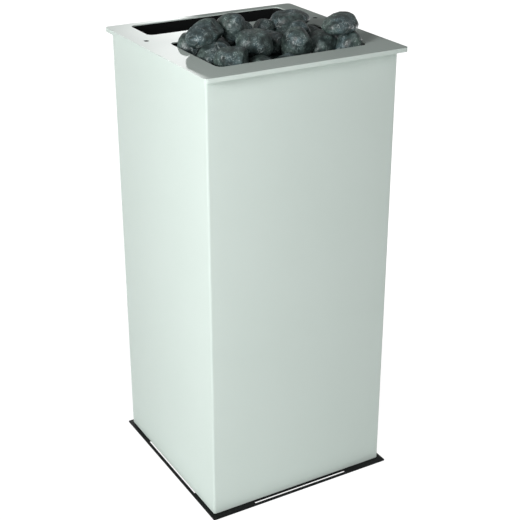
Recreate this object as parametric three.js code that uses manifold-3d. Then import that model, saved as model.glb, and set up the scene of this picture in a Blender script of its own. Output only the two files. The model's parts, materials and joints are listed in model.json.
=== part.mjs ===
// Floor-standing electric sauna heater: a square sheet-steel tower with a thin overhanging top plate,
// an open stone bin at the front of the plate and a long warm-air outlet at its back.
// Millimetres, +Z up, front towards -Y, origin on the floor under the middle of the casing.
import * as THREE from 'three';
import { mergeVertices } from 'three/addons/utils/BufferGeometryUtils.js';
import Module from 'manifold-3d';

const wasm = await Module();
wasm.setup();

// Gap left between pieces that seat on each other, how far a cutter runs past the face it cuts,
// and the distance within which corners are taken as one
const SEAT = 0.3;
const OVERRUN = 1;
const WELD = 1e-4;

// Casing: one sheet folded round the front and sides, with return flanges
const CASING_WIDTH = 352;
const CASING_DEPTH = 348;
const TOTAL_HEIGHT = 800;
const CASING_SHEET = 1.5;
const CASING_BEND = 4;
const CASING_FLANGE = 18;
const REAR_FLANGE = 14;

// Base plate, which reaches out furthest at the front, with one long slot along each edge
const BASE_THICKNESS = 2;
const BASE_SIDE_REACH = 7.5;
const BASE_FRONT_REACH = 13.5;
const BASE_REAR_REACH = 5.5;
const BASE_CORNER = 1.5;
const BASE_SLOT_LENGTH = 194;
const BASE_SLOT_WIDTH = 9.5;
const BASE_SLOT_INSET = 3.7;
const BASE_SLOT_CORNER = 1.5;

// Top plate with its turned-down lip, which also reaches out furthest at the front
const PLATE_SIDE_REACH = 9.5;
const PLATE_FRONT_REACH = 17;
const PLATE_REAR_REACH = 8;
const PLATE_SHEET = 2;
const PLATE_LIP = 7;
const PLATE_CORNER = 7;
const OPENING_CORNER = 11;

// Stone bin, open through the plate, and the strip of plate left between it and the outlet behind
const BIN_SIDE_STRIP = 47.5;
const BIN_FRONT_GAP = 4;
const BRIDGE_DEPTH = 60.7;
const BIN_DEPTH = 66;
const BIN_CLEARANCE = 2;
const BIN_SHEET = 1.5;
const BIN_LEDGE = 12;
const BIN_RIM = 10;
const HANGER_GAP = 2.7;

// Grate in the floor of the bin
const GRATE_SHEET = 3;
const GRATE_SLOT_WIDTH = 9;
const GRATE_SLOT_PITCH = 17;
const GRATE_BORDER = 16;

// Warm-air outlet and its duct, which stops short of the heat shield on the left
const OUTLET_DEPTH = 79;
const OUTLET_SHORTFALL = 6;
const OUTLET_LEDGE = 0.5;
const DUCT_SHEET = 1;
const DUCT_LENGTH = 236;

// Countersunk screws that hold the top plate, set in from the casing's sides
const SCREW_INSET = 12;
const SCREW_HEAD = 9;
const SCREW_SHANK = 5;
const SCREW_LENGTH = 9;

// Frame of angle steel inside the casing
const POST_LEG = 20;
const POST_STOCK = 2;
const RAIL_STOCK = 2;
const RAIL_UPRIGHT = 10.5;
const RAIL_CHAMFER = 0.5;

// Inner heat shield round the heating chamber
const SHIELD_SHEET = 1;
const SHIELD_BEND = 3;

// Plate that carries the heating elements, with an air window behind each, and its two rails
const ELEMENT_PLATE_TOP = 330;
const ELEMENT_PLATE_SHEET = 2;
const ELEMENT_PLATE_CORNER = 1.5;
const ELEMENT_RAIL_LEG = 20;
const ELEMENT_RAIL_DROP = 26;
const WINDOW_LENGTH = 250;
const WINDOW_WIDTH = 46;
const WINDOW_CORNER = 5;

// Tubular heating elements, each bent into four legs
const ELEMENT_NAMES = ['front', 'middle', 'rear'];
const ELEMENT_TUBE = 8.5;
const ELEMENT_LEG_SPACING = 70;
const ELEMENT_HEADROOM = 39;
const ELEMENT_LOW_BEND = 40;
const ELEMENT_COLD_END = 24;
const ELEMENT_COLLAR = 15;
const ELEMENT_COLLAR_HEIGHT = 7;
const ELEMENT_PIN = 4;
const ELEMENT_PIN_LENGTH = 14;

// Rear panel with its air intake
const REAR_PANEL_SHEET = 1.5;
const REAR_PANEL_CORNER = 1.5;
const INTAKE_SLOT_WIDTH = 4;
const INTAKE_SLOT_HEIGHT = 70;
const INTAKE_SLOT_PITCH = 14;
const INTAKE_SLOT_COUNT = 18;
const INTAKE_BOTTOM = 205;

// Connection box behind a cut-out of the rear panel, and its cover
const BOX_WIDTH = 170;
const BOX_HEIGHT = 104;
const BOX_DEPTH = 62;
const BOX_SHEET = 1;
const BOX_BOTTOM = 50;
const COVER_LAP = 8;
const COVER_SHEET = 1.2;
const COVER_CORNER = 4;

// Terminal block, earth stud and cable gland
const TERMINAL_POLES = 5;
const TERMINAL_PITCH = 16;
const TERMINAL_DEPTH = 20;
const TERMINAL_HEIGHT = 24;
const TERMINAL_BARRIER = 3;
const TERMINAL_POCKET_DEPTH = 10;
const TERMINAL_POCKET_HEIGHT = 8;
const EARTH_STUD = 6;
const EARTH_STUD_LENGTH = 20;
const EARTH_NUT = 12;
const EARTH_NUT_HEIGHT = 6;
const EARTH_STUD_MARGIN = 19;
const GLAND_THREAD = 20;
const GLAND_THREAD_LENGTH = 13;
const GLAND_HEX = 27;
const GLAND_HEX_LENGTH = 6.5;
const GLAND_DOME_LENGTH = 13;
const GLAND_DOME_BEVEL = 2;
const GLAND_MARGIN = 33;

// Stones from the bottom of the heap up: place from the middle of the bin, length, width and height,
// then the turn about the upright and the tilt of the length, in degrees
const STONES = [
  [-93, 42, 88, 80, 46, 4, 0],
  [0, 43, 84, 80, 34, -5, 0],
  [93, 43, 88, 80, 34, 6, 0],
  [-92, -43, 88, 80, 46, -6, 0],
  [1, -43, 84, 80, 34, 8, 0],
  [93, -43, 86, 80, 44, -4, 0],
  [-46, 50, 48, 44, 34, 20, 0],
  [14, 60, 56, 44, 28, -10, 0],
  [72, 60, 54, 44, 26, 15, 0],
  [118, 66, 35, 33, 36, 20, 0],
  [-46, -58, 40, 36, 32, 10, 0],
  [0, -58, 44, 38, 32, -15, 0],
  [24, 6, 44, 40, 24, 30, 0],
  [-58, 0, 34, 32, 28, 15, 0],
  [-118, 64, 46, 42, 39, 60, 0],
  [-98, -54, 54, 40, 38, 10, 4],
  [-104, -4, 68, 42, 38, 28, 10],
  [12, 6, 42, 42, 34, 40, 0],
  [119, -65, 38, 38, 50, 60, 0],
  [86, -33, 62, 44, 42, 25, 12],
  [90, 18, 50, 40, 44, -10, 0],
  [126, 23, 20, 32, 30, 0, 0],
  [-12, 68, 36, 34, 34, 0, 0],
  [28, 68, 36, 34, 32, 50, 0],
  [50, 36, 30, 30, 28, 40, 0],
  [33, -35, 46, 46, 52, 0, 0],
  [-40, -25, 54, 46, 42, 15, 0],
  [-110, 26, 68, 48, 33, 25, 14],
  [-46, 36, 46, 46, 46, 0, 0],
  [78, 63, 62, 48, 33, -8, 0],
  [101, -62, 62, 46, 31, 18, 6],
  [58, 2, 36, 34, 34, -20, 0],
];
const STONE_SEGMENTS = 12;
const STONE_RINGS = 8;
const STONE_SQUARENESS = 2.3;
const STONE_LUMP = 0.045;
const STONE_WAVES = [[2.1, 1.7, 0], [0, 2.3, -1.9], [1.6, 0, 2.2]];
const STONE_STEP = 2;
const STONE_FINENESS = 0.04;
const STONE_MARGIN = 3;

// Faces of a full turn, and of a quarter turn at a corner or at a slot's end
const ROUND_SIDES = 20;
const HEX_SIDES = 6;
const TUBE_SIDES = 6;
const TUBE_STEPS = 72;
const CORNER_FACES = 4;
const SLOT_FACES = 2;
const SLOT_ROUNDNESS = 0.995;

// Levels, worked down from the top plate and up from the floor
const plateUnder = TOTAL_HEIGHT - PLATE_SHEET;
const casingTop = plateUnder - SEAT;
const casingBottom = BASE_THICKNESS + SEAT;
const innerTop = casingTop - CASING_SHEET - SEAT;
const innerBottom = casingBottom + CASING_SHEET + SEAT;
const railSeat = innerTop - RAIL_UPRIGHT + RAIL_STOCK;
const postTop = railSeat - RAIL_STOCK - SEAT;
const hangerUnder = railSeat + SEAT;
const grateTop = TOTAL_HEIGHT - BIN_DEPTH;
const ledgeTop = grateTop - GRATE_SHEET - SEAT;
const ledgeUnder = ledgeTop - BIN_SHEET;
const elementTop = ledgeUnder - ELEMENT_HEADROOM;
const elementPlateUnder = ELEMENT_PLATE_TOP - ELEMENT_PLATE_SHEET;
const elementRailTop = elementPlateUnder - SEAT;

// Faces inside the casing, in plan
const innerX = CASING_WIDTH / 2 - CASING_SHEET;
const frontY = -CASING_DEPTH / 2 + CASING_SHEET;
const rearPanelY = CASING_DEPTH / 2 - CASING_SHEET - SEAT;
const rearY = rearPanelY - REAR_PANEL_SHEET;
const postX = innerX - SEAT;
const postFrontY = frontY + SEAT;
const postRearY = rearY - SEAT;
const hangerX = postX - RAIL_STOCK - HANGER_GAP;
const shieldX = postX - POST_LEG - SEAT;
const shieldFrontY = postFrontY + POST_LEG + SEAT;
const shieldRearY = postRearY;

// Top plate, outlet and bin in plan, and the screws midway between the two openings
const plateWidth = CASING_WIDTH + 2 * PLATE_SIDE_REACH;
const plateDepth = CASING_DEPTH + PLATE_FRONT_REACH + PLATE_REAR_REACH;
const plateY = (PLATE_REAR_REACH - PLATE_FRONT_REACH) / 2;
const ductWall = SHIELD_SHEET + SEAT + DUCT_SHEET + OUTLET_LEDGE;
const outletBackY = shieldRearY - ductWall;
const outletFrontY = outletBackY - OUTLET_DEPTH;
const outletY = (outletBackY + outletFrontY) / 2;
const outletRightX = shieldX - ductWall;
const outletWidth = 2 * outletRightX - OUTLET_SHORTFALL;
const outletX = OUTLET_SHORTFALL / 2;
const binWidth = plateWidth - 2 * BIN_SIDE_STRIP;
const binFrontY = shieldFrontY + SHIELD_SHEET + BIN_FRONT_GAP + BIN_SHEET + BIN_CLEARANCE;
const binBackY = outletFrontY - BRIDGE_DEPTH;
const binDepthY = binBackY - binFrontY;
const binY = (binBackY + binFrontY) / 2;
const binInnerWidth = binWidth + 2 * BIN_CLEARANCE;
const binInnerDepth = binDepthY + 2 * BIN_CLEARANCE;
const screwX = CASING_WIDTH / 2 - SCREW_INSET;
const screwY = (binBackY + outletFrontY) / 2;

// Heating elements in plan, spaced evenly between the shield's front and the outlet duct,
// with the outer two of their four legs going through the element plate
const elementPitch = (outletFrontY - shieldFrontY) / ELEMENT_NAMES.length;
const elementY = (i) => shieldFrontY + (i + 0.5) * elementPitch;
const elementEndX = 1.5 * ELEMENT_LEG_SPACING;

// Finishes
const palePaint = { color: 0xd9e6df, roughness: 0.45, metalness: 0.0 };
const blackPaint = { color: 0x161817, roughness: 0.7, metalness: 0.0 };
const stainless = { color: 0xa9adb0, roughness: 0.35, metalness: 1.0 };
const zincSteel = { color: 0x8f9598, roughness: 0.5, metalness: 1.0 };
const elementSteel = { color: 0x4b4744, roughness: 0.55, metalness: 0.9 };
const blackScrew = { color: 0x1a1b1c, roughness: 0.4, metalness: 0.8 };
const ceramic = { color: 0xe8e2d6, roughness: 0.6, metalness: 0.0 };
const nylon = { color: 0x202224, roughness: 0.5, metalness: 0.0 };
const brass = { color: 0xb49a55, roughness: 0.35, metalness: 1.0 };
const stone = { color: 0x4a5453, roughness: 0.6, metalness: 0.0 };

const heater = new THREE.Group();

function addPiece(name, geometry, finish) {
  const mesh = new THREE.Mesh(geometry, new THREE.MeshStandardMaterial(finish));
  mesh.name = name;
  heater.add(mesh);
}

// Closed geometry to a solid for joining and cutting, and back
function solidOf(geometry) {
  const bare = new THREE.BufferGeometry();
  bare.setAttribute('position', geometry.getAttribute('position').clone());
  if (geometry.index) bare.setIndex(geometry.index.clone());
  const merged = mergeVertices(bare, WELD);
  return new wasm.Manifold(new wasm.Mesh({
    numProp: 3,
    vertProperties: new Float32Array(merged.getAttribute('position').array),
    triVerts: new Uint32Array(merged.index.array),
  }));
}

function geometryOf(solid) {
  const mesh = solid.getMesh();
  const geometry = new THREE.BufferGeometry();
  geometry.setAttribute('position', new THREE.BufferAttribute(new Float32Array(mesh.vertProperties), 3));
  geometry.setIndex(new THREE.BufferAttribute(new Uint32Array(mesh.triVerts), 1));
  return geometry;
}

function join(...geometries) {
  return geometryOf(geometries.map(solidOf).reduce((whole, next) => whole.add(next)));
}

function cut(geometry, ...tools) {
  return geometryOf(tools.map(solidOf).reduce((rest, tool) => rest.subtract(tool), solidOf(geometry)));
}

// Rectangle with rounded corners about a middle point
function roundedRectangle(width, depth, radius, x = 0, y = 0, Outline = THREE.Shape) {
  const [w, d] = [width / 2 - radius, depth / 2 - radius];
  const outline = new Outline();
  outline.absarc(x + w, y + d, radius, 0, Math.PI / 2);
  outline.absarc(x - w, y + d, radius, Math.PI / 2, Math.PI);
  outline.absarc(x - w, y - d, radius, Math.PI, 1.5 * Math.PI);
  outline.absarc(x + w, y - d, radius, 1.5 * Math.PI, 2 * Math.PI);
  outline.closePath();
  return outline;
}

// Slot with round ends about a middle point
function slot(width, depth, x, y) {
  const radius = SLOT_ROUNDNESS * Math.min(width, depth) / 2;
  return roundedRectangle(width, depth, radius, x, y, THREE.Path);
}

function roundHole(diameter, x, y) {
  const circle = new THREE.EllipseCurve(x, y, diameter / 2, diameter / 2);
  return new THREE.Path(circle.getPoints(ROUND_SIDES));
}

// Flat outline raised from one level to another; an arc has twice as many faces as its segments
function slab(outline, bottom, top, faces = CORNER_FACES) {
  const settings = { depth: top - bottom, bevelEnabled: false, curveSegments: faces / 2 };
  return new THREE.ExtrudeGeometry(outline, settings).translate(0, 0, bottom);
}

function box(x0, x1, y0, y1, z0, z1) {
  const geometry = new THREE.BoxGeometry(x1 - x0, y1 - y0, z1 - z0);
  return geometry.translate((x0 + x1) / 2, (y0 + y1) / 2, (z0 + z1) / 2);
}

// Round piece turned from [radius, height] points
function turned(profile, sides = ROUND_SIDES) {
  const points = profile.map(([radius, height]) => new THREE.Vector2(radius, height));
  return new THREE.LatheGeometry(points, sides).rotateX(Math.PI / 2);
}

function rod(diameter, bottom, top, sides = ROUND_SIDES) {
  const radius = diameter / 2;
  return turned([[0, bottom], [radius, bottom], [radius, top], [0, top]], sides);
}

// Angle section: two legs that meet at an outer corner, reaching inwards by the two signs;
// the outer corner is broken so that it clears the bend it stands in
function angleOutline(x, y, signX, signY, legX, legY, stock, chamfer) {
  const corners = [
    [chamfer, 0], [legX, 0], [legX, stock], [stock, stock], [stock, legY], [0, legY], [0, chamfer],
  ].map(([u, v]) => new THREE.Vector2(x + signX * u, y + signY * v));
  return new THREE.Shape(signX * signY > 0 ? corners : corners.reverse());
}

// Base plate
function buildBasePlate() {
  const width = CASING_WIDTH + 2 * BASE_SIDE_REACH;
  const depth = CASING_DEPTH + BASE_FRONT_REACH + BASE_REAR_REACH;
  const middle = (BASE_REAR_REACH - BASE_FRONT_REACH) / 2;
  const inset = BASE_SLOT_INSET + BASE_SLOT_WIDTH / 2;
  const outline = roundedRectangle(width, depth, BASE_CORNER, 0, middle);
  const addSlot = (...place) => outline.holes.push(roundedRectangle(...place, THREE.Path));
  for (const side of [-1, 1]) {
    const [x, y] = [side * (width / 2 - inset), middle + side * (depth / 2 - inset)];
    addSlot(BASE_SLOT_LENGTH, BASE_SLOT_WIDTH, BASE_SLOT_CORNER, 0, y);
    addSlot(BASE_SLOT_WIDTH, BASE_SLOT_LENGTH, BASE_SLOT_CORNER, x, middle);
  }
  addPiece('base_plate', slab(outline, 0, BASE_THICKNESS, SLOT_FACES), blackPaint);
}

// Casing wall with rear flanges, and return flanges at its top and bottom
function buildCasing() {
  const wall = roundedRectangle(CASING_WIDTH, CASING_DEPTH, CASING_BEND);
  const inside = [CASING_WIDTH - 2 * CASING_SHEET, CASING_DEPTH - 2 * CASING_SHEET];
  wall.holes.push(roundedRectangle(...inside, CASING_BEND - CASING_SHEET, 0, 0, THREE.Path));
  const rearGap = CASING_WIDTH / 2 - REAR_FLANGE;
  const folded = cut(
    slab(wall, casingBottom, casingTop),
    box(-rearGap, rearGap, 0, CASING_DEPTH, casingBottom - OVERRUN, casingTop + OVERRUN));

  const openX = CASING_WIDTH / 2 - CASING_FLANGE;
  const openFront = -CASING_DEPTH / 2 + CASING_FLANGE;
  const flange = (openRear, bottom) => {
    const ring = roundedRectangle(CASING_WIDTH, CASING_DEPTH, CASING_BEND);
    ring.holes.push(roundedRectangle(
      2 * openX, openRear - openFront, CASING_BEND, 0, (openRear + openFront) / 2, THREE.Path));
    return slab(ring, bottom, bottom + CASING_SHEET);
  };
  const topFlange = flange(rearY, casingTop - CASING_SHEET);
  const bottomFlange = flange(-openFront, casingBottom);
  const holes = [-1, 1].map((side) => slab(
    new THREE.Shape(roundHole(SCREW_SHANK + 2 * SEAT, side * screwX, screwY).getPoints()),
    casingTop - CASING_SHEET - OVERRUN, casingTop + OVERRUN));
  addPiece('casing', cut(join(folded, topFlange, bottomFlange), ...holes), palePaint);
}

// Rear panel inside the casing's rear flanges, with the intake slots and the cut-out for the connection
function buildRearPanel() {
  const width = CASING_WIDTH - 2 * (CASING_BEND + SEAT);
  const outline = roundedRectangle(
    width, innerTop - innerBottom, REAR_PANEL_CORNER, 0, (innerTop + innerBottom) / 2);
  for (let i = 0; i < INTAKE_SLOT_COUNT; i += 1) {
    const x = (i - (INTAKE_SLOT_COUNT - 1) / 2) * INTAKE_SLOT_PITCH;
    outline.holes.push(slot(
      INTAKE_SLOT_WIDTH, INTAKE_SLOT_HEIGHT, x, INTAKE_BOTTOM + INTAKE_SLOT_HEIGHT / 2));
  }
  outline.holes.push(roundedRectangle(
    BOX_WIDTH - 2 * COVER_LAP, BOX_HEIGHT - 2 * COVER_LAP, COVER_CORNER,
    0, BOX_BOTTOM + BOX_HEIGHT / 2, THREE.Path));
  const panel = slab(outline, 0, REAR_PANEL_SHEET, SLOT_FACES);
  addPiece('rear_panel', panel.rotateX(Math.PI / 2).translate(0, rearPanelY, 0), palePaint);
}

// Top plate with its lip, two openings and two countersunk holes
function buildTopPlate() {
  const sheet = roundedRectangle(plateWidth, plateDepth, PLATE_CORNER, 0, plateY);
  sheet.holes.push(roundedRectangle(binWidth, binDepthY, OPENING_CORNER, 0, binY, THREE.Path));
  sheet.holes.push(roundedRectangle(
    outletWidth, OUTLET_DEPTH, OPENING_CORNER, outletX, outletY, THREE.Path));
  const lip = roundedRectangle(plateWidth, plateDepth, PLATE_CORNER, 0, plateY);
  lip.holes.push(roundedRectangle(
    plateWidth - 2 * PLATE_SHEET, plateDepth - 2 * PLATE_SHEET, PLATE_CORNER - PLATE_SHEET,
    0, plateY, THREE.Path));
  const folded = join(
    slab(sheet, plateUnder, TOTAL_HEIGHT),
    slab(lip, TOTAL_HEIGHT - PLATE_LIP, TOTAL_HEIGHT - PLATE_SHEET / 2));
  const sinks = [-1, 1].map((side) => plateScrew(SEAT, OVERRUN).translate(side * screwX, screwY, 0));
  addPiece('top_plate', cut(folded, ...sinks), palePaint);
}

// Countersunk screw on the axis, or the cutter for its hole: grown all round and run past both ends
function plateScrew(grow, past) {
  const head = SCREW_HEAD / 2 + grow;
  const shank = SCREW_SHANK / 2 + grow;
  const top = TOTAL_HEIGHT - SEAT;
  const foot = TOTAL_HEIGHT - SCREW_LENGTH - past;
  const profile = [[0, foot], [shank, foot], [shank, top - head + shank], [head, top]];
  if (past > 0) profile.push([head, top + past]);
  return turned([...profile, [0, top + past]]);
}

function buildPlateScrews() {
  for (const [side, word] of [[-1, 'left'], [1, 'right']]) {
    const screw = plateScrew(0, 0).translate(side * screwX, screwY, 0);
    addPiece(`top_plate_screw_${word}`, screw, blackScrew);
  }
}

// Stone bin: a folded tray that hangs from the rails by its rim, with a ledge for the grate
function buildStoneBin() {
  const outerWidth = binInnerWidth + 2 * BIN_SHEET;
  const outerDepth = binInnerDepth + 2 * BIN_SHEET;
  const rimTop = hangerUnder + BIN_SHEET;
  const mouth = [binInnerWidth, binInnerDepth, OPENING_CORNER - BIN_SHEET, 0, binY, THREE.Path];
  const wall = roundedRectangle(outerWidth, outerDepth, OPENING_CORNER, 0, binY);
  wall.holes.push(roundedRectangle(...mouth));
  const rim = roundedRectangle(2 * hangerX, outerDepth + 2 * BIN_RIM, BIN_SHEET, 0, binY);
  rim.holes.push(roundedRectangle(...mouth));
  const ledge = roundedRectangle(outerWidth, outerDepth, OPENING_CORNER, 0, binY);
  ledge.holes.push(roundedRectangle(
    binInnerWidth - 2 * BIN_LEDGE, binInnerDepth - 2 * BIN_LEDGE, BIN_SHEET, 0, binY, THREE.Path));
  const tray = join(
    slab(wall, ledgeUnder, rimTop), slab(rim, hangerUnder, rimTop), slab(ledge, ledgeUnder, ledgeTop));
  addPiece('stone_bin', tray, stainless);
}

// Slotted grate that the stones lie on
function buildStoneGrate() {
  const width = binInnerWidth - 2 * SEAT;
  const depth = binInnerDepth - 2 * SEAT;
  const outline = roundedRectangle(width, depth, OPENING_CORNER - BIN_SHEET, 0, binY);
  const slotLength = depth - 2 * GRATE_BORDER;
  const count = Math.floor((width - 2 * GRATE_BORDER) / GRATE_SLOT_PITCH);
  for (let i = 0; i < count; i += 1) {
    const x = (i - (count - 1) / 2) * GRATE_SLOT_PITCH;
    outline.holes.push(slot(GRATE_SLOT_WIDTH, slotLength, x, binY));
  }
  addPiece('stone_grate', slab(outline, grateTop - GRATE_SHEET, grateTop, SLOT_FACES), stainless);
}

// Outlet duct: a rectangular sheet tube that hangs from the rails below the outlet
function buildOutletDuct() {
  const width = outletWidth + 2 * OUTLET_LEDGE;
  const depth = OUTLET_DEPTH + 2 * OUTLET_LEDGE;
  const outerDepth = depth + 2 * DUCT_SHEET;
  const inside = [width, depth, OPENING_CORNER, outletX, outletY, THREE.Path];
  const wall = roundedRectangle(
    width + 2 * DUCT_SHEET, outerDepth, OPENING_CORNER + DUCT_SHEET, outletX, outletY);
  wall.holes.push(roundedRectangle(...inside));
  const hanger = roundedRectangle(2 * hangerX, outerDepth, DUCT_SHEET, 0, outletY);
  hanger.holes.push(roundedRectangle(...inside));
  const duct = join(
    slab(wall, casingTop - DUCT_LENGTH, casingTop),
    slab(hanger, hangerUnder, hangerUnder + DUCT_SHEET));
  addPiece('outlet_duct', duct, blackPaint);
}

// Corner posts, standing on the casing's bottom flange
function buildPosts() {
  for (const [signX, across] of [[-1, 'left'], [1, 'right']]) {
    for (const [signY, along, y] of [[-1, 'front', postFrontY], [1, 'rear', postRearY]]) {
      const outline = angleOutline(
        signX * postX, y, -signX, -signY, POST_LEG, POST_LEG, POST_STOCK, CASING_BEND - CASING_SHEET);
      addPiece(`corner_post_${along}_${across}`, slab(outline, innerBottom, postTop), zincSteel);
    }
  }
}

// Angle rail along the depth, drawn in the X-Z plane
function rail(outline, startY, endY) {
  const settings = { depth: endY - startY, bevelEnabled: false };
  return new THREE.ExtrudeGeometry(outline, settings).rotateX(Math.PI / 2).translate(0, endY, 0);
}

function buildRails() {
  for (const [sign, word] of [[-1, 'left'], [1, 'right']]) {
    const seat = angleOutline(
      sign * postX, railSeat - RAIL_STOCK, -sign, 1,
      POST_LEG, RAIL_UPRIGHT, RAIL_STOCK, RAIL_CHAMFER);
    addPiece(`bin_rail_${word}`, rail(seat, -CASING_DEPTH / 2 + CASING_BEND, postRearY), zincSteel);
    const bearer = angleOutline(
      sign * (postX - POST_STOCK - SEAT), elementRailTop, -sign, -1,
      ELEMENT_RAIL_LEG, ELEMENT_RAIL_DROP, RAIL_STOCK, RAIL_CHAMFER);
    const clear = POST_STOCK + SEAT;
    addPiece(`element_rail_${word}`, rail(bearer, postFrontY + clear, postRearY - clear), zincSteel);
  }
}

// Heat shield: a folded tube round the heating chamber, standing on the element plate
function buildShield() {
  const depth = shieldRearY - shieldFrontY;
  const middle = (shieldRearY + shieldFrontY) / 2;
  const outline = roundedRectangle(2 * shieldX, depth, SHIELD_BEND, 0, middle);
  outline.holes.push(roundedRectangle(
    2 * (shieldX - SHIELD_SHEET), depth - 2 * SHIELD_SHEET, SHIELD_BEND - SHIELD_SHEET,
    0, middle, THREE.Path));
  addPiece('heat_shield', slab(outline, ELEMENT_PLATE_TOP + SEAT, postTop), zincSteel);
}

// Plate that carries the heating elements
function buildElementPlate() {
  const edgeX = postX - POST_STOCK - 2 * SEAT;
  const front = postFrontY + POST_STOCK + SEAT;
  const rear = postRearY - POST_STOCK - SEAT;
  const outline = roundedRectangle(
    2 * edgeX, rear - front, ELEMENT_PLATE_CORNER, 0, (rear + front) / 2);
  ELEMENT_NAMES.forEach((_, i) => {
    for (const side of [-1, 1]) {
      outline.holes.push(roundHole(ELEMENT_TUBE + 2 * SEAT, side * elementEndX, elementY(i)));
    }
    outline.holes.push(roundedRectangle(
      WINDOW_LENGTH, WINDOW_WIDTH, WINDOW_CORNER, 0, elementY(i + 0.5), THREE.Path));
  });
  addPiece('element_plate', slab(outline, elementPlateUnder, ELEMENT_PLATE_TOP), zincSteel);
}

// A flat path drawn in X and Z, carried to one depth
class UprightPath extends THREE.Curve {
  constructor(path, y) {
    super();
    this.path = path;
    this.y = y;
  }

  getPoint(t, target = new THREE.Vector3()) {
    const point = this.path.getPoint(t);
    return target.set(point.x, this.y, point.y);
  }
}

function tube(path, diameter, steps) {
  const section = new THREE.Shape();
  section.absarc(0, 0, diameter / 2, 0, 2 * Math.PI);
  return new THREE.ExtrudeGeometry(section, {
    extrudePath: path, steps, curveSegments: TUBE_SIDES / 2, bevelEnabled: false,
  });
}

function buildElements() {
  const bend = ELEMENT_LEG_SPACING / 2;
  const start = elementPlateUnder - ELEMENT_COLD_END;
  const high = elementTop - bend;
  const low = ELEMENT_PLATE_TOP + ELEMENT_LOW_BEND + bend;
  const collarFoot = ELEMENT_PLATE_TOP + SEAT;
  ELEMENT_NAMES.forEach((word, i) => {
    const line = new THREE.Path();
    line.moveTo(-elementEndX, start);
    line.lineTo(-elementEndX, high);
    line.absarc(-ELEMENT_LEG_SPACING, high, bend, Math.PI, 0, true);
    line.lineTo(-bend, low);
    line.absarc(0, low, bend, Math.PI, 2 * Math.PI, false);
    line.lineTo(bend, high);
    line.absarc(ELEMENT_LEG_SPACING, high, bend, Math.PI, 0, true);
    line.lineTo(elementEndX, start);
    const y = elementY(i);
    const ends = [-1, 1].flatMap((side) => [
      rod(ELEMENT_COLLAR, collarFoot, collarFoot + ELEMENT_COLLAR_HEIGHT, HEX_SIDES),
      rod(ELEMENT_PIN, start - ELEMENT_PIN_LENGTH, start + ELEMENT_PIN, TUBE_SIDES),
    ].map((piece) => piece.translate(side * elementEndX, y, 0)));
    const body = tube(new UprightPath(line, y), ELEMENT_TUBE, TUBE_STEPS);
    addPiece(`heating_element_${word}`, join(body, ...ends), elementSteel);
  });
}

// Electrical connection: box, cover, terminal block, earth stud and cable gland
function buildConnection() {
  const halfWidth = BOX_WIDTH / 2;
  const top = BOX_BOTTOM + BOX_HEIGHT;
  const middle = (BOX_BOTTOM + top) / 2;
  const back = rearY - SEAT;
  const front = back - BOX_DEPTH;
  const floorY = front + BOX_SHEET;
  const shell = cut(
    box(-halfWidth, halfWidth, front, back, BOX_BOTTOM, top),
    box(-halfWidth + BOX_SHEET, halfWidth - BOX_SHEET, floorY, back + OVERRUN,
      BOX_BOTTOM + BOX_SHEET, top - BOX_SHEET));
  addPiece('connection_box', shell, zincSteel);

  const coverY = rearPanelY + SEAT + COVER_SHEET;
  const glandX = halfWidth - GLAND_MARGIN;
  const sheet = roundedRectangle(BOX_WIDTH, BOX_HEIGHT, COVER_CORNER, 0, middle);
  sheet.holes.push(roundHole(GLAND_THREAD + 2 * SEAT, glandX, middle));
  const cover = slab(sheet, 0, COVER_SHEET).rotateX(Math.PI / 2).translate(0, coverY, 0);
  addPiece('connection_cover', cover, palePaint);

  const seatY = floorY + SEAT;
  addPiece('terminal_block', terminalBlock(seatY, middle), ceramic);

  const stud = join(
    rod(EARTH_NUT, 0, EARTH_NUT_HEIGHT, HEX_SIDES), rod(EARTH_STUD, 0, EARTH_STUD_LENGTH));
  const studX = halfWidth - EARTH_STUD_MARGIN;
  addPiece('earth_stud', stud.rotateX(-Math.PI / 2).translate(studX, seatY, middle), brass);

  const dome = GLAND_THREAD / 2;
  const gland = join(
    rod(GLAND_THREAD, -GLAND_THREAD_LENGTH, GLAND_HEX_LENGTH / 2),
    rod(GLAND_HEX, 0, GLAND_HEX_LENGTH, HEX_SIDES),
    turned([
      [0, GLAND_HEX_LENGTH / 2], [dome, GLAND_HEX_LENGTH / 2], [dome, GLAND_DOME_LENGTH - GLAND_DOME_BEVEL],
      [dome - GLAND_DOME_BEVEL, GLAND_DOME_LENGTH], [0, GLAND_DOME_LENGTH],
    ]));
  addPiece('cable_gland', gland.rotateX(-Math.PI / 2).translate(glandX, coverY + SEAT, middle), nylon);
}

// Block with a pocket above and below for each pole, and barriers between the poles
function terminalBlock(seatY, middle) {
  const halfLength = (TERMINAL_POLES * TERMINAL_PITCH + TERMINAL_BARRIER) / 2;
  const halfHeight = TERMINAL_HEIGHT / 2;
  const face = seatY + TERMINAL_DEPTH;
  const halfPocket = (TERMINAL_PITCH - TERMINAL_BARRIER) / 2;
  const pockets = [];
  for (let i = 0; i < TERMINAL_POLES; i += 1) {
    const x = (i - (TERMINAL_POLES - 1) / 2) * TERMINAL_PITCH;
    const sides = [x - halfPocket, x + halfPocket, face - TERMINAL_POCKET_DEPTH, face + OVERRUN];
    pockets.push(
      box(...sides, middle - halfHeight - OVERRUN, middle - halfHeight + TERMINAL_POCKET_HEIGHT),
      box(...sides, middle + halfHeight - TERMINAL_POCKET_HEIGHT, middle + halfHeight + OVERRUN));
  }
  const block = box(-halfLength, halfLength, seatY, face, middle - halfHeight, middle + halfHeight);
  return cut(block, ...pockets);
}

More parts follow.
